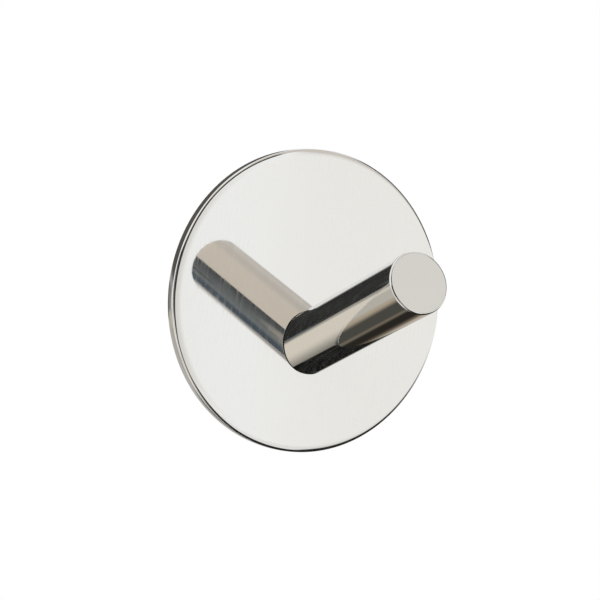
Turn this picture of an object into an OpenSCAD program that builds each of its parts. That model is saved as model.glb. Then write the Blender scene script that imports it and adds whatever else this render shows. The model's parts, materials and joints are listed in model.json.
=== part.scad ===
// Self-adhesive wall hook: a round polished plate on a foam pad carries one straight peg that rises
// as it leaves the wall. A countersunk screw from behind holds the peg and a dowel stops it turning.
// The wall is the plane y = 0, the hook stands out towards -Y, and +Z is up.
// The origin is the centre of the pad's sticking face.

/* [Back plate] */
// Diameter of the plate
plate_d = 50; // [40:0.5:80]
// Thickness of the plate
plate_t = 2; // [1.8:0.1:4]
// Radius of the plate's front edge
plate_edge_r = 0.45; // [0.1:0.05:0.8]
// Bevel of the plate's back edge
plate_back_bevel = 0.2; // [0.05:0.05:0.5]

/* [Peg] */
// Diameter of the peg
peg_d = 10; // [9:0.5:14]
// Length along the peg's axis, from the plate's face to the end face
peg_len = 36; // [20:1:60]
// Rise of the peg above the square to the wall, in degrees
peg_rise = 18.4; // [0:0.1:25]
// Drop of the peg's foot below the plate's centre
peg_drop = 6.9; // [0:0.1:9]
// Radius of the peg's end edge
peg_end_r = 0.3; // [0.1:0.05:1]

/* [Screw] */
// Diameter of the screw's shank
screw_d = 3; // [2:0.5:4]
// Length of the screw, with its head
screw_len = 8; // [6:1:10]
// Diameter of the countersunk head
screw_head_d = 6; // [5:0.5:7]
// Height of the countersunk head
screw_head_h = 1.5; // [0.8:0.1:1.5]
// Width across the flats of the hexagon socket
socket_flats = 2; // [1.3:0.1:2.5]
// Depth of the hexagon socket
socket_depth = 1.1; // [0.5:0.1:1.2]
// Bore left below the screw's tip
tap_spare = 1; // [0.5:0.5:3]

/* [Dowel] */
// Diameter of the dowel
dowel_d = 1.5; // [1:0.1:1.8]
// Length of the dowel
dowel_len = 4; // [3:0.5:6]
// Depth of the dowel in the plate
dowel_in_plate = 1; // [0.6:0.1:1.2]
// Wall between the screw's bore and the dowel's bore
dowel_wall = 1.1; // [0.9:0.1:1.4]
// Bevel of the dowel's ends
dowel_bevel = 0.15; // [0.05:0.05:0.3]

/* [Adhesive pad] */
// Thickness of the foam pad
pad_t = 1.1; // [0.5:0.1:3]
// Inset of the pad from the plate's edge
pad_inset = 2; // [0.5:0.5:6]

/* [Clearances] */
// Radial clearance of the screw in the plate and in the peg
screw_clear = 0.05; // [0.02:0.01:0.15]
// Radial clearance of the dowel in its holes
dowel_clear = 0.03; // [0.01:0.01:0.1]
// Depth of the screw's head below the plate's back
head_sink = 0.1; // [0.05:0.05:0.2]
// Space past each end of the dowel
dowel_end_clear = 0.15; // [0.05:0.05:0.3]

/* [Hidden] */
$fn = 96;
hexagon = 6;

plate_r = plate_d / 2;
peg_r = peg_d / 2;
pad_r = plate_r - pad_inset;
screw_r = screw_d / 2;
screw_head_r = screw_head_d / 2;
screw_bore_r = screw_r + screw_clear;
dowel_r = dowel_d / 2;
dowel_bore_r = dowel_r + dowel_clear;

// Planes across the wall's normal
plate_back_y = -pad_t;
plate_front_y = plate_back_y - plate_t;
screw_back_y = plate_back_y - head_sink;
dowel_back_y = plate_front_y + dowel_in_plate;

// Heights of the screw and the dowel
foot_z = -peg_drop;
dowel_z = foot_z + screw_bore_r + dowel_wall + dowel_bore_r;

// Stock of rod behind the plate's face, from which the foot is mitred
foot_stock = peg_r * tan(peg_rise) + peg_r;
// Size of the block that trims the foot
trim = 4 * (peg_len + peg_d);
// Run past a face, so that a cut goes clean through it
over = 0.5;

// Children stand on the plane y and grow away from the wall, centred on x = 0 and the height z
module away_from_wall(y, z = 0)
  translate([0, y, z])
    rotate([90, 0, 0])
      children();

// Half outline of a disc or rod whose far edge is rounded
module round_edge_profile(r, h, edge) {
  square([r - edge, h]);
  square([r, h - edge]);
  translate([r - edge, h - edge])
    circle(edge);
}

// Rod along the peg's axis, from its stock behind the plate's face to its rounded end
module peg_rod()
  translate([0, plate_front_y, foot_z])
    rotate([90 - peg_rise, 0, 0])
      translate([0, 0, -foot_stock])
        rotate_extrude()
          round_edge_profile(peg_r, foot_stock + peg_len, peg_end_r);

// Everything nearer to the wall than the plane y
module wall_side_of(y)
  translate([-trim / 2, y, -trim / 2])
    cube([trim, trim, trim]);

// Countersunk screw that is larger all round by play and longer by spare
module screw_form(play = 0, spare = 0)
  away_from_wall(screw_back_y, foot_z) {
    cylinder(r1 = screw_head_r + play, r2 = screw_r + play, h = screw_head_h);
    cylinder(r = screw_r + play, h = screw_len + spare);
  }

module back_plate()
  color("silver")
    difference() {
      away_from_wall(plate_back_y)
        rotate_extrude()
          difference() {
            round_edge_profile(plate_r, plate_t, plate_edge_r);
            translate([plate_r, 0])
              rotate(45)
                square(plate_back_bevel * sqrt(2), center = true);
          }
      screw_form(screw_clear);
      away_from_wall(plate_back_y + over, foot_z)
        cylinder(r = screw_head_r + screw_clear, h = head_sink + over);
      away_from_wall(dowel_back_y + dowel_end_clear, dowel_z)
        cylinder(r = dowel_bore_r, h = dowel_in_plate + dowel_end_clear + over);
    }

module peg()
  color("gainsboro")
    difference() {
      peg_rod();
      wall_side_of(plate_front_y);
      screw_form(screw_clear, tap_spare);
      away_from_wall(plate_front_y + over, dowel_z)
        cylinder(r = dowel_bore_r, h = dowel_len - dowel_in_plate + dowel_end_clear + over);
    }

module peg_screw()
  color("darkgray")
    difference() {
      screw_form();
      away_from_wall(screw_back_y + over, foot_z)
        cylinder(d = socket_flats / cos(180 / hexagon), h = socket_depth + over, $fn = hexagon);
    }

module locating_dowel()
  color("gray")
    away_from_wall(dowel_back_y, dowel_z)
      rotate_extrude()
        polygon([
          [0, 0],
          [dowel_r - dowel_bevel, 0],
          [dowel_r, dowel_bevel],
          [dowel_r, dowel_len - dowel_bevel],
          [dowel_r - dowel_bevel, dowel_len],
          [0, dowel_len],
        ]);

module adhesive_pad()
  color("dimgray")
    away_from_wall(0)
      cylinder(r = pad_r, h = pad_t);

back_plate();
peg();
peg_screw();
locating_dowel();
adhesive_pad();
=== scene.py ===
"""Dresses the adhesive wall hook: a mirror-polished plate and peg, a foam pad and bright fasteners.

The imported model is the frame. Lengths are in metres, the wall is the plane y = 0, the hook stands
out towards -Y and +Z is up. Every new piece is a closed surface worked out with numpy.
"""
import json
import logging
import math
from dataclasses import dataclass
from enum import Enum

import bpy
import numpy as np
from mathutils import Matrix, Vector


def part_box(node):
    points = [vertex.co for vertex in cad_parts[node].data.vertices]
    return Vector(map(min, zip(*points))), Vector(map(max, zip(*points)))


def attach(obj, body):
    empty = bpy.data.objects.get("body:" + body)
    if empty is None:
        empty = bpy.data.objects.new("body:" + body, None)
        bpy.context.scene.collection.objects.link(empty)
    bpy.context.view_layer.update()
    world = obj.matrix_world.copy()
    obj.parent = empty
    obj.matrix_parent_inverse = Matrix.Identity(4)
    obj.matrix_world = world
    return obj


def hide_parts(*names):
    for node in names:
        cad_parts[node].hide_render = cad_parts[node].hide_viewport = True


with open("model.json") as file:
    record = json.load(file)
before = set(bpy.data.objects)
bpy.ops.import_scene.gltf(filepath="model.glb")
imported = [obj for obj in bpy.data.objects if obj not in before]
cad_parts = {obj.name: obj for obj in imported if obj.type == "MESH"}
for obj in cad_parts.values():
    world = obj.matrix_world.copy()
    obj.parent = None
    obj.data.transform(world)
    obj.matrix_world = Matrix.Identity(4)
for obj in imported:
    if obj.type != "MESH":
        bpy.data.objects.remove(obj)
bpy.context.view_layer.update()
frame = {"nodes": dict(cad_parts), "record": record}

LOG = logging.getLogger("wall_hook")
MM = 0.001
IMAGE_PX = 600
SHARP_EDGE = math.radians(30.0)
# Glossy depth of a ray that the steel has mirrored once
FIRST_REFLECTION = 1.0

Colour = tuple[float, float, float]


class Slot(Enum):
    """Material slots of the record."""

    PLATE = "polished_plate"
    PEG = "polished_peg"
    FASTENERS = "bright_fasteners"
    FOAM = "foam_tape"


class NodeSheet:
    """A material's or the world's node tree, with short calls to add and join nodes."""

    def __init__(self, tree: bpy.types.NodeTree) -> None:
        """Empties the tree and keeps it."""
        self.tree = tree
        tree.nodes.clear()

    def add(self, kind: str, **values: object) -> bpy.types.Node:
        """Adds a node and sets it up.

        Args:
            kind: The node's type, such as "ShaderNodeBump".
            **values: Properties of the node by name, and constants of its sockets, where an
                underscore in the name stands for a space.

        Returns:
            The new node.
        """
        node = self.tree.nodes.new(kind)
        for name, value in values.items():
            if hasattr(node, name):
                setattr(node, name, value)
            else:
                node.inputs[name.replace("_", " ")].default_value = value
        return node

    def join(self, source: bpy.types.NodeSocket, target: bpy.types.NodeSocket) -> None:
        """Links an output socket to an input socket."""
        self.tree.links.new(source, target)


def new_material(name: str) -> tuple[bpy.types.Material, NodeSheet]:
    """Makes an empty node material.

    Args:
        name: The material's name.

    Returns:
        The material and the sheet that its nodes go on.
    """
    material = bpy.data.materials.new(name)
    material.use_nodes = True
    return material, NodeSheet(material.node_tree)


def rgba(colour: Colour) -> tuple[float, float, float, float]:
    """Gives a colour its opaque alpha."""
    return (*colour, 1.0)


def grey(level: float) -> Colour:
    """Gives a neutral colour."""
    return (level, level, level)


@dataclass(frozen=True)
class PolishedSteel:
    """Mirror-polished stainless steel with fine polishing lines.

    The lines are noise whose grains have their own size along each axis of the turned object
    coordinates. Between the lines the steel is a clear mirror. The lines scatter the light, tilt it
    slightly and have a tint of their own, and broad bands of slower noise shade the colour. A faint
    matt haze of still finer scratches, strongest in the lines, lies over the mirror.
    """

    name: str
    colour: Colour
    shaded_colour: Colour
    line_colour: Colour
    turn: tuple[float, float, float]
    grain: tuple[float, float, float]
    bands: tuple[float, float, float]
    clear: float
    scatter: float
    line_start: float
    line_full: float
    line_depth: float
    haze: float = 0.0
    haze_start: float = 0.45
    haze_full: float = 0.72
    line_detail: float = 3.0
    band_detail: float = 1.0
    finer_share: float = 0.6

    def material(self) -> bpy.types.Material:
        """Builds the steel.

        Returns:
            The node material.
        """
        material, sheet = new_material(self.name)
        place = sheet.add("ShaderNodeTexCoord")
        turned = sheet.add("ShaderNodeMapping", Rotation=self.turn)
        sheet.join(place.outputs["Object"], turned.inputs["Vector"])
        lines = self._drawn_out(sheet, turned, self.grain, self.line_detail)
        bands = self._drawn_out(sheet, turned, self.bands, self.band_detail)
        share = sheet.add("ShaderNodeMapRange", From_Min=self.line_start, From_Max=self.line_full)
        sheet.join(lines.outputs["Fac"], share.inputs["Value"])

        shade = sheet.add("ShaderNodeMix", data_type="RGBA")
        shade.inputs["A"].default_value = rgba(self.shaded_colour)
        shade.inputs["B"].default_value = rgba(self.colour)
        sheet.join(bands.outputs["Fac"], shade.inputs["Factor"])
        tint = sheet.add("ShaderNodeMix", data_type="RGBA")
        tint.inputs["B"].default_value = rgba(self.line_colour)
        sheet.join(shade.outputs["Result"], tint.inputs["A"])
        sheet.join(share.outputs["Result"], tint.inputs["Factor"])

        blur = sheet.add("ShaderNodeMapRange", To_Min=self.clear, To_Max=self.scatter)
        sheet.join(share.outputs["Result"], blur.inputs["Value"])
        mirror = sheet.add("ShaderNodeMapRange", From_Min=self.haze_start, From_Max=self.haze_full)
        mirror.inputs["To Min"].default_value = 1.0
        mirror.inputs["To Max"].default_value = 1.0 - self.haze
        sheet.join(lines.outputs["Fac"], mirror.inputs["Value"])

        relief = sheet.add("ShaderNodeBump", Strength=1.0, Distance=self.line_depth)
        sheet.join(lines.outputs["Fac"], relief.inputs["Height"])

        steel = sheet.add("ShaderNodeBsdfPrincipled")
        sheet.join(tint.outputs["Result"], steel.inputs["Base Color"])
        sheet.join(mirror.outputs["Result"], steel.inputs["Metallic"])
        sheet.join(blur.outputs["Result"], steel.inputs["Roughness"])
        sheet.join(relief.outputs["Normal"], steel.inputs["Normal"])
        out = sheet.add("ShaderNodeOutputMaterial")
        sheet.join(steel.outputs["BSDF"], out.inputs["Surface"])
        return material

    def _drawn_out(
        self, sheet: NodeSheet, turned: bpy.types.Node, size: tuple[float, float, float], detail: float
    ) -> bpy.types.Node:
        """Adds noise whose grains have a size along each turned axis.

        Args:
            sheet: The material's nodes.
            turned: The node that gives the turned object coordinates.
            size: The size of a grain along the three axes.
            detail: How many finer layers the noise has.

        Returns:
            The noise node.
        """
        scaled = sheet.add("ShaderNodeMapping", Scale=tuple(1.0 / length for length in size))
        sheet.join(turned.outputs["Vector"], scaled.inputs["Vector"])
        noise = sheet.add("ShaderNodeTexNoise", Scale=1.0, Detail=detail, Roughness=self.finer_share)
        sheet.join(scaled.outputs["Vector"], noise.inputs["Vector"])
        return noise


@dataclass(frozen=True)
class BrightSteel:
    """Plain bright steel of small fasteners, with a fine grain in its roughness."""

    name: str = "bright_steel"
    colour: Colour = (0.62, 0.61, 0.59)
    grain: float = 0.2 * MM
    smooth: float = 0.2
    rough: float = 0.42

    def material(self) -> bpy.types.Material:
        """Builds the steel.

        Returns:
            The node material.
        """
        material, sheet = new_material(self.name)
        place = sheet.add("ShaderNodeTexCoord")
        noise = sheet.add("ShaderNodeTexNoise", Scale=1.0 / self.grain, Detail=3.0)
        sheet.join(place.outputs["Object"], noise.inputs["Vector"])
        haze = sheet.add("ShaderNodeMapRange", To_Min=self.smooth, To_Max=self.rough)
        sheet.join(noise.outputs["Fac"], haze.inputs["Value"])
        steel = sheet.add("ShaderNodeBsdfPrincipled", Metallic=1.0, Base_Color=rgba(self.colour))
        sheet.join(haze.outputs["Result"], steel.inputs["Roughness"])
        out = sheet.add("ShaderNodeOutputMaterial")
        sheet.join(steel.outputs["BSDF"], out.inputs["Surface"])
        return material


@dataclass(frozen=True)
class JointShade:
    """Painted shade in the narrow joint under the peg's foot: near-black steel that stands for the shade
    in the gap.
    """

    name: str = "joint_painted_shade"
    # Near-black colours of the painted shade in the joint
    light: Colour = (0.03, 0.028, 0.026)
    dark: Colour = (0.008, 0.008, 0.008)
    grain: float = 0.3 * MM
    rough: float = 0.7

    def material(self) -> bpy.types.Material:
        """Builds the near-black steel of the painted shade.

        Returns:
            The node material.
        """
        material, sheet = new_material(self.name)
        place = sheet.add("ShaderNodeTexCoord")
        noise = sheet.add("ShaderNodeTexNoise", Scale=1.0 / self.grain, Detail=2.0)
        sheet.join(place.outputs["Object"], noise.inputs["Vector"])
        shade = sheet.add("ShaderNodeMix", data_type="RGBA")
        shade.inputs["A"].default_value = rgba(self.dark)
        shade.inputs["B"].default_value = rgba(self.light)
        sheet.join(noise.outputs["Fac"], shade.inputs["Factor"])
        steel = sheet.add("ShaderNodeBsdfPrincipled", Metallic=0.0, Roughness=self.rough)
        sheet.join(shade.outputs["Result"], steel.inputs["Base Color"])
        out = sheet.add("ShaderNodeOutputMaterial")
        sheet.join(steel.outputs["BSDF"], out.inputs["Surface"])
        return material


@dataclass(frozen=True)
class ClosedCellFoam:
    """Grey closed-cell foam tape, dull, with round cells and a faint tacky sheen."""

    name: str = "closed_cell_foam"
    light: Colour = (0.36, 0.37, 0.38)
    dark: Colour = (0.25, 0.26, 0.27)
    cell: float = 0.35 * MM
    cell_depth: float = 0.05 * MM
    patch: float = 6.0 * MM
    cell_share: float = 0.5
    dark_at: float = 0.35
    light_at: float = 0.95
    relief: float = 0.6
    tacky: float = 0.5
    dull: float = 0.8

    def material(self) -> bpy.types.Material:
        """Builds the foam.

        Returns:
            The node material.
        """
        material, sheet = new_material(self.name)
        place = sheet.add("ShaderNodeTexCoord")
        cells = sheet.add("ShaderNodeTexVoronoi", feature="SMOOTH_F1", Scale=1.0 / self.cell)
        patches = sheet.add("ShaderNodeTexNoise", Scale=1.0 / self.patch, Detail=4.0)
        sheet.join(place.outputs["Object"], cells.inputs["Vector"])
        sheet.join(place.outputs["Object"], patches.inputs["Vector"])
        mottle = sheet.add("ShaderNodeMath", operation="MULTIPLY_ADD")
        mottle.inputs[1].default_value = self.cell_share
        sheet.join(cells.outputs["Distance"], mottle.inputs[0])
        sheet.join(patches.outputs["Fac"], mottle.inputs[2])
        ramp = sheet.add("ShaderNodeValToRGB")
        ramp.color_ramp.elements[0].color = rgba(self.dark)
        ramp.color_ramp.elements[0].position = self.dark_at
        ramp.color_ramp.elements[1].color = rgba(self.light)
        ramp.color_ramp.elements[1].position = self.light_at
        sheet.join(mottle.outputs["Value"], ramp.inputs["Fac"])
        relief = sheet.add("ShaderNodeBump", Strength=self.relief, Distance=self.cell_depth)
        sheet.join(cells.outputs["Distance"], relief.inputs["Height"])
        tack = sheet.add("ShaderNodeMapRange", To_Min=self.tacky, To_Max=self.dull)
        sheet.join(patches.outputs["Fac"], tack.inputs["Value"])
        foam = sheet.add("ShaderNodeBsdfPrincipled")
        sheet.join(ramp.outputs["Color"], foam.inputs["Base Color"])
        sheet.join(tack.outputs["Result"], foam.inputs["Roughness"])
        sheet.join(relief.outputs["Normal"], foam.inputs["Normal"])
        out = sheet.add("ShaderNodeOutputMaterial")
        sheet.join(foam.outputs["BSDF"], out.inputs["Surface"])
        return material


@dataclass
class RingSurface:
    """A closed surface skinned over rings of points.

    Point j of ring i is joined to point j + 1 of its ring and to point j of the next ring, and each
    ring closes on itself. Where start and end points are given, a fan closes the first and the last
    ring. Otherwise the last ring is joined to the first. The strips are the material numbers of the
    strips between the rings in order, and of the two fans.
    """

    rings: np.ndarray
    start: np.ndarray | None = None
    end: np.ndarray | None = None
    strips: np.ndarray | None = None

    def corners(self) -> tuple[np.ndarray, list[np.ndarray]]:
        """Works out the points and the faces as index arrays.

        Returns:
            The points, one a row, and the face arrays: quads, then the fans' triangles.
        """
        rows, columns, _ = self.rings.shape
        grid = np.arange(rows * columns).reshape(rows, columns)
        points = self.rings.reshape(-1, 3)
        if self.start is None or self.end is None:
            near, far = grid, np.roll(grid, -1, axis=0)
        else:
            near, far = grid[:-1], grid[1:]
        quads = np.stack([near, np.roll(near, -1, 1), np.roll(far, -1, 1), far], -1).reshape(-1, 4)
        faces = [quads]
        if self.start is not None and self.end is not None:
            points = np.vstack([points, self.start, self.end])
            first, last = grid[0], grid[-1]
            poles = np.full((2, columns), len(points) - 2)
            poles[1] += 1
            faces.append(np.stack([poles[0], np.roll(first, -1), first], -1))
            faces.append(np.stack([poles[1], last, np.roll(last, -1)], -1))
        return points, faces

    def piece(self, name: str) -> bpy.types.Object:
        """Makes the object, with its faces turned outwards and its hard edges kept sharp.

        Args:
            name: The piece's name.

        Returns:
            The object, at the origin.
        """
        points, faces = self.corners()
        triangles = np.vstack([f[:, [0, k, k + 1]] for f in faces for k in range(1, f.shape[1] - 1)])
        a, b, c = (points[triangles[:, k]] for k in range(3))
        if np.einsum("ij,ij->", a, np.cross(b, c)) < 0.0:
            faces = [f[:, ::-1] for f in faces]
        mesh = bpy.data.meshes.new(name)
        mesh.from_pydata(points.tolist(), [], [face for f in faces for face in f.tolist()])
        mesh.polygons.foreach_set("use_smooth", np.ones(len(mesh.polygons), bool))
        if self.strips is not None:
            mesh.polygons.foreach_set("material_index", np.repeat(self.strips, self.rings.shape[1]))
        mesh.set_sharp_from_angle(angle=SHARP_EDGE)
        mesh.update()
        piece = bpy.data.objects.new(name, mesh)
        bpy.context.scene.collection.objects.link(piece)
        LOG.info("%s: %d points, %d faces", name, len(points), len(mesh.polygons))
        return piece


def turn_angles(columns: int) -> np.ndarray:
    """Gives equal angles round a full turn, without the end that meets the start."""
    return np.linspace(0.0, 2.0 * math.pi, columns, endpoint=False)


def rounded_corner(centre: tuple[float, float], radius: float, steps: int) -> np.ndarray:
    """Gives a quarter circle from the second axis to the first, about a centre.

    Args:
        centre: The circle's centre, as (first, second).
        radius: The circle's radius.
        steps: The number of chords.

    Returns:
        The points, centre + radius * (sin a, cos a) for a from 0 to 90 degrees.
    """
    angle = np.linspace(0.0, math.pi / 2.0, steps + 1)
    return np.array(centre) + radius * np.stack([np.sin(angle), np.cos(angle)], -1)


@dataclass
class Fastening:
    """The screw and the dowel behind the peg's foot, with the sizes of the screw's hole."""

    axis_z: float
    head_y: float
    tip_y: float
    head_r: float
    shank_r: float = 1.5 * MM
    head_h: float = 1.5 * MM
    play: float = 0.05 * MM
    spare: float = 1.0 * MM

    @classmethod
    def from_frame(cls) -> "Fastening":
        """Reads the screw's place and head from its packed box."""
        low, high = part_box("peg_screw")
        return cls(
            axis_z=(low.z + high.z) / 2.0,
            head_y=high.y,
            tip_y=low.y,
            head_r=(high.x - low.x) / 2.0,
        )

    def ring(self, radius: float, y: float, angle: np.ndarray) -> np.ndarray:
        """Gives a circle about the screw's axis.

        Args:
            radius: The circle's radius.
            y: The plane that it lies in.
            angle: The angle of each point, from +X towards +Z.

        Returns:
            The points (radius cos a, y, axis_z + radius sin a).
        """
        return np.stack(
            [radius * np.cos(angle), np.full_like(angle, y), self.axis_z + radius * np.sin(angle)], -1
        )

    def dress(self) -> None:
        """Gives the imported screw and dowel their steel."""
        steel = BrightSteel().material()
        for node in ("peg_screw", "locating_dowel"):
            fastener = frame["nodes"][node]
            fastener.data.materials.clear()
            fastener.data.materials.append(steel)
            LOG.info("%s: packed solid, bright steel", node)


@dataclass
class BackPlate:
    """The round plate with polished-off edges, a slightly bulged side and the screw's hole."""

    radius: float
    front: float
    back: float
    fastening: Fastening
    edge_width: float = 0.65 * MM
    edge_depth: float = 0.34 * MM
    roll_width: float = 1.0 * MM
    roll_tilt: float = math.radians(4.5)
    side_tilt: float = math.radians(7.0)
    back_r: float = 0.2 * MM
    support: float = 0.02 * MM
    columns: int = 720
    roll_steps: int = 12
    edge_steps: int = 28
    side_steps: int = 8
    back_steps: int = 8

    @classmethod
    def from_frame(cls, fastening: Fastening) -> "BackPlate":
        """Reads the plate's sizes from its packed box."""
        low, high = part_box("back_plate")
        return cls(radius=max(high.x, high.z, -low.z), front=low.y, back=high.y, fastening=fastening)

    def build(self) -> bpy.types.Object:
        """Builds the plate as rings that run out over the front, round the edge and in over the back.

        The outline (r, y) is turned about the plate's axis. The rings of the screw's hole lie about
        the screw's axis, so the flat faces run from one centre's circle to the other's.

        Returns:
            The plate, riding on the frame.
        """
        angle = turn_angles(self.columns)
        outline = self.outline()
        r, y = outline[:, :1], outline[:, 1:]
        outer = np.stack([r * np.cos(angle), y + 0.0 * angle, r * np.sin(angle)], -1)
        hole = self.fastening
        bore_r, head_r = hole.shank_r + hole.play, hole.head_r + hole.play
        inner = np.stack([
            hole.ring(head_r, self.back, angle),
            hole.ring(head_r, hole.head_y, angle),
            hole.ring(bore_r, hole.head_y - hole.head_h, angle),
            hole.ring(bore_r, self.front, angle),
        ])
        face, side = range(2)
        side_start = 1 + self.roll_steps + self.edge_steps
        strips = np.full(len(outer) + len(inner), face)
        strips[side_start:len(outer) - 1] = side
        plate = RingSurface(np.vstack([outer, inner]), strips=strips).piece("polished_back_plate")
        for finish in (self.finish(), self.side_finish_and_shade()):
            plate.data.materials.append(finish.material())
        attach(plate, "root")
        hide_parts("back_plate")
        return plate

    def outline(self) -> np.ndarray:
        """Works out the edge's outline from the front face to the back face.

        The face rolls off on a parabola, roll_width wide, up to roll_tilt. The front edge goes on as
        part of a quarter ellipse, edge_width wide and edge_depth deep, which stops where its normal
        is side_tilt short of radial. The side is a parabola that bulges to the full radius and tilts
        as far backwards. The back edge is an arc of radius back_r.

        Returns:
            The points (r, y).
        """
        ratio = self.edge_width / self.edge_depth
        first = math.atan(ratio * math.tan(self.roll_tilt))
        last = math.atan(ratio / math.tan(self.side_tilt))
        turn = np.linspace(first, last, self.edge_steps + 1)
        roll_depth = self.roll_width * math.tan(self.roll_tilt) / 2.0
        edge_y = self.front + roll_depth + self.edge_depth * (math.cos(first) - np.cos(turn))
        side_front = edge_y[-1]
        side_back = self.back - self.back_r * (1.0 - math.sin(self.side_tilt))
        half = (side_back - side_front) / 2.0
        bulge = half * math.tan(self.side_tilt) / 2.0
        edge_r = self.radius - bulge + self.edge_width * (np.sin(turn) - math.sin(last))
        part = np.linspace(0.0, 1.0, self.roll_steps + 1)[:-1]
        roll_r = edge_r[0] - self.roll_width * (1.0 - part)
        roll_y = self.front + roll_depth * part**2
        across = np.linspace(-1.0, 1.0, self.side_steps + 1)[1:-1]
        side_r = self.radius - bulge * across**2
        side_y = (side_front + side_back) / 2.0 + half * across
        bend = np.linspace(self.side_tilt, math.pi / 2.0, self.back_steps + 1)
        back_r = self.radius - bulge + self.back_r * (np.cos(bend) - math.cos(self.side_tilt))
        back_y = self.back - self.back_r * (1.0 - np.sin(bend))
        return np.vstack([
            [(roll_r[0] - self.support, self.front)],
            np.stack([roll_r, roll_y], -1),
            np.stack([edge_r, edge_y], -1),
            np.stack([side_r, side_y], -1),
            np.stack([back_r, back_y], -1),
        ])

    @staticmethod
    def finish() -> PolishedSteel:
        """Gives the plate's finish, with nearly upright polishing lines."""
        return PolishedSteel(
            name="polished_plate_steel",
            colour=(0.835, 0.835, 0.82),
            shaded_colour=(0.82, 0.818, 0.80),
            line_colour=(0.828, 0.83, 0.818),
            turn=(0.0, math.radians(-10.0), 0.0),
            grain=(0.2 * MM, 0.2 * MM, 4.0 * MM),
            bands=(5.0 * MM, 5.0 * MM, 24.0 * MM),
            clear=0.025,
            scatter=0.12,
            line_start=0.5,
            line_full=0.85,
            line_depth=0.0001 * MM,
            haze=0.07,
        )

    @staticmethod
    def side_finish_and_shade() -> PolishedSteel:
        """Gives the turned side's finish, with fine lines along the rim, in a darker colour than the
        face's that is painted shade on the side.
        """
        return PolishedSteel(
            name="turned_side_steel_painted_shade",
            # Painted shade: the side's colour is darker than the face's, which darkens its reflection.
            colour=(0.76, 0.755, 0.74),
            shaded_colour=(0.73, 0.725, 0.71),
            line_colour=(0.56, 0.555, 0.54),
            turn=(0.0, 0.0, 0.0),
            grain=(6.0 * MM, 0.25 * MM, 6.0 * MM),
            bands=(8.0 * MM, 2.0 * MM, 8.0 * MM),
            clear=0.03,
            scatter=0.1,
            line_start=0.42,
            line_full=0.75,
            line_depth=0.0001 * MM,
        )


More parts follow.
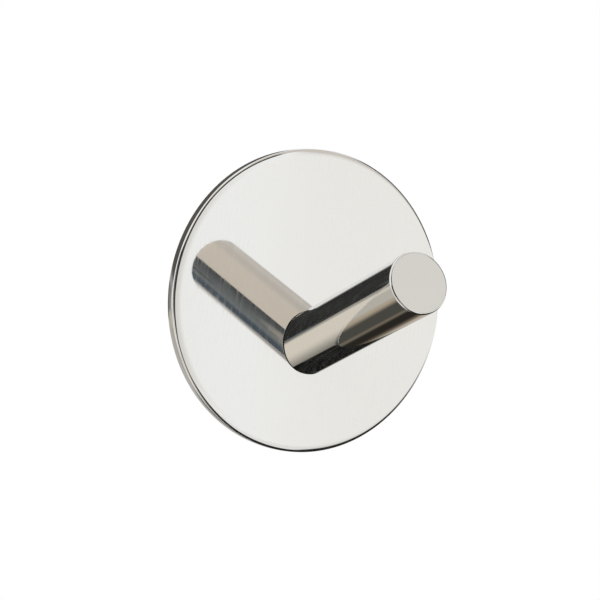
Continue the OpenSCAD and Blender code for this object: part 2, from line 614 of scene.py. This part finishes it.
@dataclass
class Peg:
    """The straight round rod with a mitred foot on the plate and a rounded end edge."""

    radius: float
    length: float
    rise: float
    foot: np.ndarray
    fastening: Fastening
    end_r: float = 0.3 * MM
    foot_break: float = 0.04 * MM
    joint_gap: float = 0.25 * MM
    joint_depth: float = 0.6 * MM
    support: float = 0.02 * MM
    columns: int = 480
    side_rows: int = 24
    edge_steps: int = 14
    break_steps: int = 6

    @classmethod
    def from_frame(cls, plate: BackPlate, fastening: Fastening) -> "Peg":
        """Reads the rod's radius and axis from its mount, and its length from its packed box.

        The end's lowest y is that of the rounded edge, so the length along the axis follows from
        (length - end_r) cos rise + (radius - end_r) sin rise + end_r.

        Args:
            plate: The plate that the foot stands on.
            fastening: The screw that holds the foot.

        Returns:
            The peg.
        """
        mount = next(m for m in frame["record"]["mounts"] if m["name"] == "hanging_peg")
        axis = np.array(mount["axis"])
        middle = np.array(mount["pos_m"])
        radius = mount["dims"]["r_mm"] * MM
        foot = middle + axis * (plate.front - middle[1]) / axis[1]
        reach = plate.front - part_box("peg")[0].y
        slack = (radius - cls.end_r) * axis[2] + cls.end_r
        length = cls.end_r + (reach - slack) / -axis[1]
        rise = math.atan2(axis[2], -axis[1])
        return cls(radius=radius, length=length, rise=rise, foot=foot, fastening=fastening)

    def ring(self, radius: float, along: np.ndarray | float, angle: np.ndarray) -> np.ndarray:
        """Gives a closed curve round the axis.

        Args:
            radius: The distance from the axis.
            along: The distance along the axis from the foot's centre, at each angle or at all.
            angle: The angle of each point round the axis, from +X towards the upper side.

        Returns:
            The points foot + along * axis + radius * (cos a * side + sin a * upper).
        """
        axis = np.array([0.0, -math.cos(self.rise), math.sin(self.rise)])
        side = np.array([1.0, 0.0, 0.0])
        upper = np.array([0.0, math.sin(self.rise), math.cos(self.rise)])
        out = np.cos(angle)[:, None] * side + np.sin(angle)[:, None] * upper
        return self.foot + np.broadcast_to(along, angle.shape)[:, None] * axis + radius * out

    def mitre(self, radius: float, angle: np.ndarray) -> np.ndarray:
        """Gives how far along the axis the plate's plane cuts a line at a radius and angle."""
        return radius * math.tan(self.rise) * np.sin(angle)

    @property
    def gap(self) -> float:
        """The joint's gap, measured along the axis."""
        return self.joint_gap / math.cos(self.rise)

    def build(self) -> bpy.types.Object:
        """Builds the rod as rings from its end face along its side to its foot and into the tapped bore.

        Returns:
            The peg, riding on the frame.
        """
        angle = turn_angles(self.columns)
        outer_rings = self._end_rings(angle) + self._side_rings(angle)
        outer_rings += self._break_rings(outer_rings[-1], angle)
        joint_rings = self._joint_rings(angle)
        hole = self.fastening
        bore_r = hole.shank_r + hole.play
        bore_end = hole.tip_y - hole.spare
        bore_rings = [hole.ring(bore_r, self.foot[1], angle), hole.ring(bore_r, bore_end, angle)]
        rings = np.stack(outer_rings + joint_rings + bore_rings)
        cap_centre = self.ring(0.0, self.length, angle)[0]
        bore_centre = np.array([0.0, bore_end, hole.axis_z])
        # The joint's strips take the painted shade, a near-black steel that stands for the shade in the
        # gap under the foot.
        side, end, joint = range(3)
        joint_start = len(outer_rings) - 1
        strips = np.full(len(rings) + 1, side)
        strips[[0, len(rings) - 1]] = end
        strips[joint_start:joint_start + len(joint_rings)] = joint
        peg = RingSurface(rings, cap_centre, bore_centre, strips).piece("polished_peg")
        for finish in (self.finish(), self.end_finish_and_light(), JointShade()):
            peg.data.materials.append(finish.material())
        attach(peg, "root")
        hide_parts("peg")
        return peg

    def _end_rings(self, angle: np.ndarray) -> list[np.ndarray]:
        """Gives the rings of the flat end face's rim and of the rounded end edge.

        Args:
            angle: The angle of each point round the axis.

        Returns:
            The rings, from the face to the side.
        """
        corner = rounded_corner((0.0, 0.0), self.end_r, self.edge_steps)
        face = self.ring(self.radius - self.end_r - self.support, self.length, angle)
        edge = [
            self.ring(self.radius - self.end_r + out, self.length - self.end_r + along, angle)
            for out, along in corner
        ]
        return [face] + edge

    def _side_rings(self, angle: np.ndarray) -> list[np.ndarray]:
        """Gives the rings of the side, a straight line from the end's edge to the foot's edge.

        Close rings at both ends keep the side's shading straight up to the edges.

        Args:
            angle: The angle of each point round the axis.

        Returns:
            The rings, from the end to the foot.
        """
        low = self.mitre(self.radius, angle) + self.gap + self.foot_break
        first = self.length - self.end_r - self.support
        last = low + self.support
        share = np.linspace(1.0, 0.0, self.side_rows + 1)
        rings = [self.ring(self.radius, last + (first - last) * part, angle) for part in share]
        return rings + [self.ring(self.radius, low, angle)]

    def _break_rings(self, wall: np.ndarray, angle: np.ndarray) -> list[np.ndarray]:
        """Gives the rings of the foot's broken edge, which stands off the plate by the joint's gap.

        The edge is a quadratic curve from the side past the sharp corner to the foot's face:
        (1 - t)^2 wall + 2 t (1 - t) corner + t^2 floor.

        Args:
            wall: The side's last ring.
            angle: The angle of each point round the axis.

        Returns:
            The rings after the wall.
        """
        inner_r = self.radius - self.foot_break
        corner = self.ring(self.radius, self.mitre(self.radius, angle) + self.gap, angle)
        floor = self.ring(inner_r, self.mitre(inner_r, angle) + self.gap, angle)
        steps = np.linspace(0.0, 1.0, self.break_steps + 1)[1:]
        return [(1 - t) ** 2 * wall + 2 * t * (1 - t) * corner + t**2 * floor for t in steps]

    def _joint_rings(self, angle: np.ndarray) -> list[np.ndarray]:
        """Gives the two rings at the joint's depth, from where inwards the foot sits on the plate."""
        seat_r = self.radius - self.joint_depth
        seat = self.mitre(seat_r, angle)
        return [self.ring(seat_r, seat + self.gap, angle), self.ring(seat_r, seat, angle)]

    def finish(self) -> PolishedSteel:
        """Gives the side's finish, with polishing lines round the rod."""
        return PolishedSteel(
            name="polished_peg_steel",
            colour=(0.81, 0.805, 0.79),
            shaded_colour=(0.785, 0.78, 0.765),
            line_colour=(0.80, 0.795, 0.78),
            turn=(self.rise - math.pi / 2.0, 0.0, 0.0),
            grain=(5.0 * MM, 5.0 * MM, 0.15 * MM),
            bands=(2.0 * MM, 2.0 * MM, 30.0 * MM),
            clear=0.015,
            scatter=0.08,
            line_start=0.5,
            line_full=0.85,
            line_depth=0.0002 * MM,
        )

    def end_finish_and_light(self) -> PolishedSteel:
        """Gives the end face's finish, faced and polished, in a lighter and bluer colour than the side's
        that is painted light on the end.
        """
        return PolishedSteel(
            name="faced_end_steel_painted_light",
            # Painted light: the end's colour is lighter and bluer than the side's, which brightens its
            # reflection.
            colour=(0.915, 0.948, 0.965),
            shaded_colour=(0.90, 0.935, 0.955),
            line_colour=(0.90, 0.935, 0.955),
            turn=(self.rise - math.pi / 2.0, 0.0, 0.0),
            grain=(0.2 * MM, 2.5 * MM, 2.5 * MM),
            bands=(3.0 * MM, 6.0 * MM, 6.0 * MM),
            clear=0.03,
            scatter=0.25,
            line_start=0.5,
            line_full=0.85,
            line_depth=0.0001 * MM,
        )


@dataclass
class AdhesivePad:
    """The die-cut round foam pad between the plate and the wall."""

    radius: float
    front: float
    back: float
    edge_dip: float = 0.08 * MM
    face_dip: float = 0.03 * MM
    draw_share: float = 0.5
    ripple_share: float = 0.25
    columns: int = 360
    face_rows: int = 40
    edge_rows: int = 12

    RIPPLES = ((41, 0.0), (67, 2.0), (113, 4.0))
    WAVES = ((3, 5.0), (5, -9.0), (0, 14.0))

    @classmethod
    def from_frame(cls) -> "AdhesivePad":
        """Reads the pad's sizes from its packed box."""
        low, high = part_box("adhesive_pad")
        return cls(radius=max(high.x, high.z, -low.z), front=low.y, back=high.y)

    def build(self) -> bpy.types.Object:
        """Builds the pad as rings from the wall's face out to the cut edge and in over the plate's side.

        The faces dip by a few hundredths of a millimetre on slow sine waves, as pressed tape does. The
        cut edge draws in at mid thickness by draw_share * edge_dip * (1 - t^2), where t runs from -1 to
        1 across the thickness, and ripples on sine waves round the pad, each with a count and a start.

        Returns:
            The pad, riding on the frame.
        """
        angle = turn_angles(self.columns)
        reach = np.linspace(0.0, 1.0, self.face_rows + 1)[1:, None] * (self.radius - self.edge_dip)
        dip = self.face_dip * self._waves(reach, angle)
        wall_face = self._rings(reach, self.back - dip, angle)
        across = np.linspace(1.0, -1.0, self.edge_rows + 1)[1:-1, None]
        ripple = sum(np.sin(count * angle + start) for count, start in self.RIPPLES) / len(self.RIPPLES)
        draw = self.draw_share * (1.0 - across**2) + self.ripple_share * (1.0 + ripple)
        edge_r = self.radius - self.edge_dip * draw
        middle, half = (self.front + self.back) / 2.0, (self.back - self.front) / 2.0
        edge = self._rings(edge_r, middle + half * across, angle)
        plate_face = self._rings(reach[::-1], np.full((self.face_rows, 1), self.front), angle)
        rings = np.vstack([wall_face, edge, plate_face])
        start = np.array([0.0, self.back, 0.0])
        end = np.array([0.0, self.front, 0.0])
        pad = RingSurface(rings, start, end).piece("foam_adhesive_pad")
        pad.data.materials.append(ClosedCellFoam().material())
        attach(pad, "root")
        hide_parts("adhesive_pad")
        return pad

    @staticmethod
    def _rings(radius: np.ndarray, y: np.ndarray, angle: np.ndarray) -> np.ndarray:
        """Turns radii and planes into rings (radius cos a, y, radius sin a)."""
        radius, y, angle = np.broadcast_arrays(radius, y, angle)
        return np.stack([radius * np.cos(angle), y, radius * np.sin(angle)], -1)

    def _waves(self, reach: np.ndarray, angle: np.ndarray) -> np.ndarray:
        """Gives slow waves over the face, from 0 to 1, that die out towards the centre.

        Each is sin(count * angle + run * share), where the share of the radius goes from 0 to 1.

        Args:
            reach: The distances from the pad's centre.
            angle: The angles round the pad.

        Returns:
            The waves' mean, lifted to run from 0 to 1 and scaled by the share.
        """
        share = reach / self.radius
        wave = sum(np.sin(count * angle + run * share) for count, run in self.WAVES)
        return share * (wave + len(self.WAVES)) / (2 * len(self.WAVES))


@dataclass(frozen=True)
class StudioCard:
    """A card bent on a sphere about the hook, which the polished steel mirrors.

    Its limits are in degrees: azimuth from straight in front towards +X, and elevation. Its cover
    falls off to nothing over the feather, in degrees, at the left, right, low and high side. The
    skirt moves the right side out at the low side, the rake lifts the low side towards the left, and
    the low colour tints the low side. A deep card shows only in the reflection of a reflection.
    """

    name: str
    azimuth: tuple[float, float]
    elevation: tuple[float, float]
    colour: Colour
    distance: float
    feather: tuple[float, float, float, float] = (0.5, 0.5, 0.5, 0.5)
    low_colour: Colour | None = None
    skirt: float = 0.0
    rake: float = 0.0
    deep: bool = False
    steps: int = 64

    def build(self) -> bpy.types.Object:
        """Builds the card as distance * (sin az cos el, -cos az cos el, sin el) over its limits.

        Returns:
            The card, in the scene.
        """
        share = np.linspace(0.0, 1.0, self.steps + 1)
        height = share[:, None] + 0.0 * share
        low_limit = self.elevation[0] + self.rake * (1.0 - share)
        elevation = low_limit + (self.elevation[1] - low_limit) * height
        right_limit = self.azimuth[1] + self.skirt * (1.0 - height)
        azimuth = self.azimuth[0] + (right_limit - self.azimuth[0]) * share
        az, el = np.radians(azimuth), np.radians(elevation)
        points = self.distance * np.stack(
            [np.sin(az) * np.cos(el), -np.cos(az) * np.cos(el), np.sin(el)], -1
        )
        grid = np.arange((self.steps + 1) ** 2).reshape(self.steps + 1, -1)
        quads = np.stack([grid[:-1, :-1], grid[:-1, 1:], grid[1:, 1:], grid[1:, :-1]], -1)
        mesh = bpy.data.meshes.new(self.name)
        mesh.from_pydata(points.reshape(-1, 3).tolist(), [], quads.reshape(-1, 4).tolist())
        left, right, low, high = self.feather
        cover = (
            self._ease((azimuth - self.azimuth[0]) / left)
            * self._ease((right_limit - azimuth) / right)
            * self._ease((elevation - low_limit) / low)
            * self._ease((self.elevation[1] - elevation) / high)
        )
        mesh.attributes.new("cover", "FLOAT", "POINT").data.foreach_set("value", cover.ravel())
        low_glow = np.array(rgba(self.low_colour or self.colour))
        glow = low_glow + (np.array(rgba(self.colour)) - low_glow) * height[..., None]
        mesh.attributes.new("glow", "FLOAT_COLOR", "POINT").data.foreach_set("color", glow.ravel())
        mesh.materials.append(self._paint())
        card = bpy.data.objects.new(self.name, mesh)
        bpy.context.scene.collection.objects.link(card)
        card.visible_camera = False
        card.visible_diffuse = False
        card.visible_shadow = False
        return card

    @staticmethod
    def _ease(share: np.ndarray) -> np.ndarray:
        """Eases from 0 at share 0 to 1 at share 1 and beyond."""
        t = np.clip(share, 0.0, 1.0)
        return t * t * (3.0 - 2.0 * t)

    def _paint(self) -> bpy.types.Material:
        """Makes the card's plain glow, see-through where its cover ends.

        Returns:
            The node material.
        """
        material, sheet = new_material(self.name)
        cover = sheet.add("ShaderNodeAttribute", attribute_name="cover")
        tint = sheet.add("ShaderNodeAttribute", attribute_name="glow")
        clear = sheet.add("ShaderNodeBsdfTransparent")
        glow = sheet.add("ShaderNodeEmission", Strength=1.0)
        sheet.join(tint.outputs["Color"], glow.inputs["Color"])
        mix = sheet.add("ShaderNodeMixShader")
        share = self._deep_share(sheet, cover.outputs["Fac"]) if self.deep else cover.outputs["Fac"]
        sheet.join(share, mix.inputs["Fac"])
        sheet.join(clear.outputs["BSDF"], mix.inputs[1])
        sheet.join(glow.outputs["Emission"], mix.inputs[2])
        out = sheet.add("ShaderNodeOutputMaterial")
        sheet.join(mix.outputs["Shader"], out.inputs["Surface"])
        return material

    @staticmethod
    def _deep_share(sheet: NodeSheet, cover: bpy.types.NodeSocket) -> bpy.types.NodeSocket:
        """Keeps the cover only for rays that the steel has mirrored twice or more.

        Args:
            sheet: The card's nodes.
            cover: The socket with the card's cover.

        Returns:
            The socket with the cover that is left.
        """
        path = sheet.add("ShaderNodeLightPath")
        twice = sheet.add("ShaderNodeMath", operation="GREATER_THAN")
        twice.inputs[1].default_value = FIRST_REFLECTION
        sheet.join(path.outputs["Glossy Depth"], twice.inputs[0])
        left = sheet.add("ShaderNodeMath", operation="MULTIPLY")
        sheet.join(cover, left.inputs[0])
        sheet.join(twice.outputs["Value"], left.inputs[1])
        return left.outputs["Value"]


@dataclass(frozen=True)
class SoftLamp:
    """A square area lamp that points at the hook."""

    name: str
    place: tuple[float, float, float]
    watts: float
    width: float

    def build(self) -> None:
        """Puts the lamp in the scene."""
        lamp = bpy.data.lights.new(self.name, "AREA")
        lamp.energy = self.watts
        lamp.size = self.width
        holder = bpy.data.objects.new(self.name, lamp)
        holder.location = self.place
        holder.rotation_euler = (-Vector(self.place)).to_track_quat("-Z", "Y").to_euler()
        holder.visible_glossy = False
        bpy.context.scene.collection.objects.link(holder)


@dataclass
class Studio:
    """The white surroundings, the pale floor, the lamps and the cards that the steel mirrors."""

    floor_z: float = -1.3
    floor_width: float = 30.0
    floor_shade: float = 0.8
    soft_light: float = 0.12

    CARDS = (
        StudioCard(
            "ceiling_card", (-42.0, 33.0), (21.3, 58.0), (0.775, 0.70, 0.61), 1.14,
            (3.0, 30.0, 0.8, 4.0),
        ),
        StudioCard(
            "right_high_card", (0.0, 75.0), (22.0, 75.0), (0.50, 0.465, 0.43), 1.18,
            (3.0, 6.0, 1.0, 6.0), low_colour=(0.745, 0.695, 0.64),
        ),
        StudioCard(
            "right_edge_card", (27.0, 60.0), (4.0, 24.0), (0.65, 0.61, 0.575), 1.17,
            (3.0, 6.0, 8.0, 1.5),
        ),
        StudioCard(
            "front_fall_card", (4.0, 26.5), (-13.0, 10.0), (0.80, 0.775, 0.74), 1.15,
            (4.0, 10.0, 5.0, 5.0),
        ),
        StudioCard(
            "right_soft_card", (26.0, 90.0), (-30.0, 14.0), (0.965, 0.955, 0.93), 1.20,
            (4.0, 4.0, 6.0, 1.5),
        ),
        StudioCard(
            "right_dark_card", (56.0, 138.0), (4.0, 42.0), grey(0.06), 1.12,
            (8.0, 8.0, 5.0, 4.0),
        ),
        StudioCard(
            "high_shade_card", (-26.0, 26.0), (16.5, 41.0), grey(0.036), 1.09,
            (3.0, 3.0, 1.5, 3.0),
        ),
        StudioCard(
            "front_grey_card", (-62.0, 6.0), (-18.0, 24.2), (0.07, 0.076, 0.078), 1.10,
            (6.0, 10.0, 2.0, 2.6), low_colour=(0.235, 0.255, 0.26),
        ),
        StudioCard(
            "grey_shade_card", (-26.0, -2.0), (-23.0, -6.0), (0.085, 0.11, 0.135), 1.08,
            (10.0, 4.0, 4.0, 5.0),
        ),
        StudioCard(
            "front_shade_card", (-27.9, 12.0), (-1.6, 18.0), grey(0.029), 1.06,
            (1.0, 10.0, 0.8, 1.0),
        ),
        StudioCard(
            "front_low_shade_card", (-20.5, 9.0), (-10.0, -1.0), grey(0.03), 1.07,
            (3.0, 8.0, 3.0, 0.5),
        ),
        StudioCard(
            "shade_corner_card", (-53.0, -40.5), (-7.5, 8.0), grey(0.029), 0.06,
            (2.0, 1.2, 2.0, 1.4), skirt=7.8, rake=9.3, deep=True,
        ),
        StudioCard(
            "left_shade_card", (-62.0, -38.5), (-12.0, 21.5), grey(0.03), 1.07,
            (6.0, 1.5, 3.0, 1.0),
        ),
        StudioCard(
            "left_light_card", (-44.0, -37.6), (-6.5, 15.0), (0.40, 0.37, 0.33), 1.065,
            (4.0, 1.6, 2.0, 5.0), skirt=10.5,
        ),
        StudioCard(
            "low_front_card", (-4.5, 14.0), (-24.0, -9.0), (0.80, 0.75, 0.69), 1.13,
            (3.0, 6.0, 3.0, 3.0),
        ),
        StudioCard(
            "sand_card", (-52.0, -27.0), (-62.0, -3.2), (0.93, 0.865, 0.765), 1.04,
            (6.0, 2.5, 34.0, 5.8), skirt=20.5,
        ),
        StudioCard(
            "low_left_card", (225.0, 312.0), (-80.0, -34.0), (0.95, 0.93, 0.90), 1.02,
            (8.0, 8.0, 8.0, 8.0),
        ),
        StudioCard(
            "low_glow_card", (8.0, 31.0), (-36.0, -12.0), (0.88, 0.87, 0.85), 1.11,
            (6.0, 3.0, 8.0, 4.0),
        ),
        StudioCard(
            "under_card", (-60.0, 110.0), (-89.0, -11.0), (0.009, 0.009, 0.0085), 1.12,
            (4.0, 10.0, 1.0, 14.0),
        ),
        StudioCard(
            "rear_grey_card", (195.0, 255.0), (-33.0, -4.0), (0.545, 0.515, 0.46), 1.08,
            (8.0, 6.0, 6.0, 2.0),
        ),
        StudioCard(
            "rear_light_card", (210.0, 219.0), (-13.0, -5.5), (0.70, 0.65, 0.56), 1.07,
            (2.0, 3.0, 3.0, 2.0),
        ),
        StudioCard(
            "rear_band_card", (195.0, 255.0), (-43.0, -27.0), (0.47, 0.395, 0.30), 1.09,
            (6.0, 6.0, 10.0, 3.0),
        ),
        StudioCard(
            "rear_soft_card", (150.0, 206.0), (-36.0, -6.0), (0.56, 0.55, 0.53), 1.06,
            (6.0, 8.0, 6.0, 3.0),
        ),
        StudioCard(
            "rear_brown_card", (196.0, 226.0), (-7.0, 8.0), (0.29, 0.27, 0.245), 1.10,
            (8.0, 16.0, 2.0, 6.0),
        ),
        StudioCard(
            "rear_low_shade_card", (151.0, 208.0), (-9.0, 6.0), (0.12, 0.11, 0.10), 1.11,
            (5.0, 8.0, 3.0, 4.0),
        ),
        StudioCard(
            "rear_shade_card", (151.0, 232.0), (1.0, 46.0), (0.115, 0.105, 0.095), 1.12,
            (5.0, 14.0, 8.0, 5.0),
        ),
        StudioCard(
            "rear_right_card", (100.0, 180.0), (-46.0, -2.0), (0.56, 0.535, 0.49), 1.10,
            (4.0, 10.0, 26.0, 4.0), low_colour=(0.50, 0.40, 0.27),
        ),
        StudioCard(
            "rear_strip_card", (173.0, 190.0), (-62.0, -47.0), (0.17, 0.145, 0.11), 1.10,
            (7.0, 7.0, 3.0, 3.0),
        ),
        StudioCard(
            "rear_under_left_card", (168.0, 262.0), (-89.0, -33.0), (0.078, 0.075, 0.066), 1.14,
            (14.0, 2.0, 1.0, 6.0),
        ),
        StudioCard(
            "rear_under_card", (98.0, 262.0), (-89.0, -12.0), (0.026, 0.023, 0.019), 1.16,
            (6.0, 2.0, 1.0, 24.0),
        ),
    )
    LAMPS = (
        SoftLamp("key_lamp", (-0.7, -0.9, 0.9), 15.0, 0.9),
        SoftLamp("fill_lamp", (0.9, -0.9, 0.3), 11.5, 0.9),
        SoftLamp("rear_lamp", (0.4, 1.0, 0.5), 14.0, 0.9),
    )

    def build(self) -> None:
        """Sets up the surroundings, the floor, the lamps and the cards."""
        self._surroundings()
        self._floor()
        for lamp in self.LAMPS:
            lamp.build()
        for card in self.CARDS:
            card.build()
        LOG.info("studio: %d lamps, %d cards", len(self.LAMPS), len(self.CARDS))

    @staticmethod
    def _seen(sheet: NodeSheet) -> bpy.types.NodeSocket:
        """Tells the rays that see the white ground: camera, mirror and glass rays.

        Args:
            sheet: The nodes to work on.

        Returns:
            A socket that is 1 for those rays.
        """
        path = sheet.add("ShaderNodeLightPath")
        either = sheet.add("ShaderNodeMath", operation="MAXIMUM")
        seen = sheet.add("ShaderNodeMath", operation="MAXIMUM")
        sheet.join(path.outputs["Is Camera Ray"], either.inputs[0])
        sheet.join(path.outputs["Is Glossy Ray"], either.inputs[1])
        sheet.join(either.outputs["Value"], seen.inputs[0])
        sheet.join(path.outputs["Is Transmission Ray"], seen.inputs[1])
        return seen.outputs["Value"]

    def _surroundings(self) -> None:
        """Makes the world white to the camera and to mirrors, and a faint soft light otherwise."""
        world = bpy.data.worlds.new("studio_white")
        world.use_nodes = True
        bpy.context.scene.world = world
        sheet = NodeSheet(world.node_tree)
        light = sheet.add("ShaderNodeBackground", Strength=self.soft_light)
        white = sheet.add("ShaderNodeBackground", Strength=1.0)
        for ground in (light, white):
            ground.inputs["Color"].default_value = rgba(grey(1.0))
        mix = sheet.add("ShaderNodeMixShader")
        sheet.join(self._seen(sheet), mix.inputs["Fac"])
        sheet.join(light.outputs["Background"], mix.inputs[1])
        sheet.join(white.outputs["Background"], mix.inputs[2])
        out = sheet.add("ShaderNodeOutputWorld")
        sheet.join(mix.outputs["Shader"], out.inputs["Surface"])

    def _floor(self) -> None:
        """Lays the pale floor, which joins the white surroundings without an edge."""
        half = self.floor_width / 2.0
        corners = np.array([(-1, -1), (1, -1), (1, 1), (-1, 1)]) * half
        points = np.column_stack([corners, np.full(4, self.floor_z)])
        mesh = bpy.data.meshes.new("floor")
        mesh.from_pydata(points.tolist(), [], [(0, 1, 2, 3)])
        material, sheet = new_material("pale_floor")
        matt = sheet.add("ShaderNodeBsdfDiffuse", Color=rgba(grey(self.floor_shade)))
        white = sheet.add("ShaderNodeEmission", Color=rgba(grey(1.0)), Strength=1.0)
        mix = sheet.add("ShaderNodeMixShader")
        sheet.join(self._seen(sheet), mix.inputs["Fac"])
        sheet.join(matt.outputs["BSDF"], mix.inputs[1])
        sheet.join(white.outputs["Emission"], mix.inputs[2])
        out = sheet.add("ShaderNodeOutputMaterial")
        sheet.join(mix.outputs["Shader"], out.inputs["Surface"])
        mesh.materials.append(material)
        floor = bpy.data.objects.new("floor", mesh)
        bpy.context.scene.collection.objects.link(floor)


@dataclass(frozen=True)
class PhotoCamera:
    """The camera at the photograph's angle, aimed at the centre of the plate's face.

    The plate's centre lies a few pixels off the middle of the picture, which the shift gives.
    """

    azimuth: float = -28.83
    elevation: float = 3.24
    distance: float = 0.385
    lens_mm: float = 140.66
    sensor_mm: float = 36.0
    centre_px: tuple[float, float] = (310.2, 301.0)

    def build(self, aim: Vector) -> None:
        """Makes the scene's camera.

        Args:
            aim: The point that lands on centre_px.
        """
        az, el = math.radians(self.azimuth), math.radians(self.elevation)
        back = Vector((math.sin(az) * math.cos(el), -math.cos(az) * math.cos(el), math.sin(el)))
        lens = bpy.data.cameras.new("photo_camera")
        lens.lens = self.lens_mm
        lens.sensor_width = self.sensor_mm
        lens.shift_x = (IMAGE_PX / 2.0 - self.centre_px[0]) / IMAGE_PX
        lens.shift_y = (self.centre_px[1] - IMAGE_PX / 2.0) / IMAGE_PX
        camera = bpy.data.objects.new("photo_camera", lens)
        camera.location = aim + back * self.distance
        camera.rotation_euler = (-back).to_track_quat("-Z", "Y").to_euler()
        bpy.context.scene.collection.objects.link(camera)
        bpy.context.scene.camera = camera


def main() -> None:
    """Builds the camera, the studio and the hook's pieces in order."""
    logging.basicConfig(level=logging.INFO, format="%(name)s: %(message)s")
    bpy.context.scene.view_settings.view_transform = "Standard"
    fastening = Fastening.from_frame()
    plate = BackPlate.from_frame(fastening)
    peg = Peg.from_frame(plate, fastening)
    PhotoCamera().build(Vector((0.0, plate.front, 0.0)))
    Studio().build()
    plate.build()
    peg.build()
    AdhesivePad.from_frame().build()
    fastening.dress()


if __name__ == "__main__":
    main()
